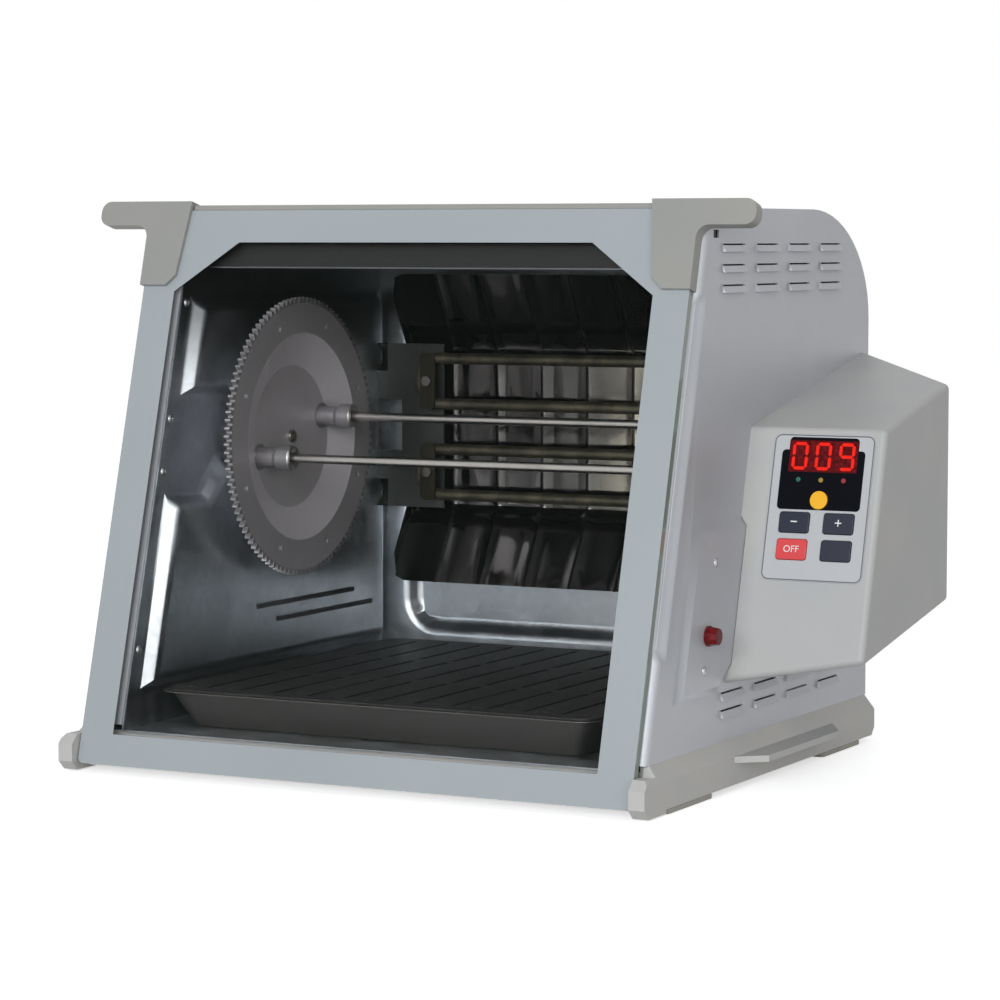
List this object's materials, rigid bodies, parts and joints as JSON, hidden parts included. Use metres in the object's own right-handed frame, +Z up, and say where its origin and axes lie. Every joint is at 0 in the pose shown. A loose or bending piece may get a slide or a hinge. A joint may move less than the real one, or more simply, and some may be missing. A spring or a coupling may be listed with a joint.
{
  "type": "countertop rotisserie oven",
  "caption": "Countertop rotisserie oven with a sloping glass door, a twin-rod spit between gear wheels, a drip tray and a digital control box.",
  "frame": {"origin": "on the table under the middle of the oven's outside box", "axes": "+X to the oven's right as seen from its front, along the spit; +Y from the door to the back; +Z up"},
  "size_m": [0.5275, 0.383, 0.3665],
  "materials": {
    "grey_plastic": "fine satin",
    "foot_plastic": "satin",
    "painted_steel": "silver grey satin paint",
    "liner_steel": "aluminised",
    "mirror_steel": "polished",
    "heater_sheath": "oxidised",
    "bracket_steel": "plain",
    "bright_fasteners": "zinc plated",
    "porcelain": "matt",
    "saddle_plastic": "heat proof",
    "motor_steel": "plain",
    "pinion_metal": "sintered",
    "black_plastic": "satin",
    "fascia_film": "satin film",
    "display_lens": "gloss",
    "lit_digits": "lit",
    "indicator_lens": "gloss",
    "board": "solder mask",
    "board_block": "satin",
    "red_lens": "gloss",
    "door_pane": "clear tempered",
    "door_enamel": "fired grey enamel",
    "wheel_coating": "non-stick coating",
    "rod_steel": "polished",
    "tray_metal": "brushed",
    "grate_coating": "black non-stick",
    "dark_key": "satin",
    "red_key": "satin",
    "yellow_key": "satin"
  },
  "bodies": {
    "casing": {"base": "grey_plastic", "control_housing": "grey_plastic", "feet": "foot_plastic", "left_side_panel": "painted_steel", "right_side_panel": "painted_steel", "wrap_cover": "painted_steel", "left_inner_wall": "liner_steel", "right_inner_wall": "liner_steel", "ceiling_panel": "liner_steel", "inner_back_wall": "liner_steel", "floor_pan": "liner_steel", "reflector": "mirror_steel", "heater_element": "heater_sheath", "left_heater_bracket": "bracket_steel", "right_heater_bracket": "bracket_steel", "motor_bracket": "bracket_steel", "casing_screws": "bright_fasteners", "wall_screws": "bright_fasteners", "heater_clamps": "bright_fasteners", "heater_bolts": "bright_fasteners", "motor_screws": "bright_fasteners", "board_screws": "bright_fasteners", "housing_screws": "bright_fasteners", "door_catch": "bright_fasteners", "heater_terminals": "porcelain", "thermal_cutout": "porcelain", "left_spit_saddle": "saddle_plastic", "right_spit_saddle": "saddle_plastic", "gearmotor": "motor_steel", "pilot_lamp_holder": "black_plastic", "cord_gland": "black_plastic", "led_module": "black_plastic", "control_fascia": "fascia_film", "display_window": "display_lens", "led_digits": "lit_digits", "indicator_lamps": "indicator_lens", "circuit_board": "board", "board_parts": "board_block", "pilot_lamp": "red_lens"},
    "door": {"door_glass": "door_pane", "door_band": "door_enamel", "door_top_trim": "grey_plastic", "left_door_handle": "grey_plastic", "right_door_handle": "grey_plastic", "handle_screws": "bright_fasteners", "door_hinge_rail": "bright_fasteners", "door_hinge_pins": "bright_fasteners"},
    "spit": {"left_gear_wheel": "wheel_coating", "right_gear_wheel": "wheel_coating", "spit_rods": "rod_steel", "axle_stubs": "rod_steel"},
    "drive": {"drive_pinion": "pinion_metal", "drive_shaft": "rod_steel"},
    "tray": {"drip_tray": "tray_metal"},
    "grate": {"grate": "grate_coating"},
    "minus_key": {"minus_button": "dark_key"},
    "plus_key": {"plus_button": "dark_key"},
    "off_key": {"off_button": "red_key"},
    "timer_key": {"timer_button": "dark_key"},
    "function_key": {"function_button": "yellow_key"}
  },
  "joints": [
    {"name": "door_hinge", "type": "hinge", "parent": "casing", "child": "door", "pos_m": [-0.02775, -0.17664, 0.01247], "axis": [1, 0, 0], "range_deg": [0, 104]},
    {"name": "spit_spin", "type": "hinge", "parent": "casing", "child": "spit", "pos_m": [-0.02775, 0.0055, 0.2075], "axis": [1, 0, 0], "continuous": true},
    {"name": "pinion_spin", "type": "hinge", "parent": "casing", "child": "drive", "pos_m": [-0.02775, 0.07144, 0.1231], "axis": [1, 0, 0], "continuous": true},
    {"name": "tray_slide", "type": "slide", "parent": "casing", "child": "tray", "axis": [0, -1, 0], "range_m": [0, 0.01]},
    {"name": "grate_lift", "type": "slide", "parent": "tray", "child": "grate", "axis": [0, 0, 1], "range_m": [0, 0.04]},
    {"name": "minus_press", "type": "slide", "parent": "casing", "child": "minus_key", "axis": [0, 0.9659, -0.2588], "range_m": [0, 0.0008], "stiffness_N_per_m": 300, "springref_m": -0.001},
    {"name": "plus_press", "type": "slide", "parent": "casing", "child": "plus_key", "axis": [0, 0.9659, -0.2588], "range_m": [0, 0.0008], "stiffness_N_per_m": 300, "springref_m": -0.001},
    {"name": "off_press", "type": "slide", "parent": "casing", "child": "off_key", "axis": [0, 0.9659, -0.2588], "range_m": [0, 0.0008], "stiffness_N_per_m": 300, "springref_m": -0.001},
    {"name": "timer_press", "type": "slide", "parent": "casing", "child": "timer_key", "axis": [0, 0.9659, -0.2588], "range_m": [0, 0.0008], "stiffness_N_per_m": 300, "springref_m": -0.001},
    {"name": "function_press", "type": "slide", "parent": "casing", "child": "function_key", "axis": [0, 0.9659, -0.2588], "range_m": [0, 0.0008], "stiffness_N_per_m": 300, "springref_m": -0.001}
  ],
  "couplings": [
    {"joint": "pinion_spin", "follows": "spit_spin", "ratio": -6.875}
  ]
}
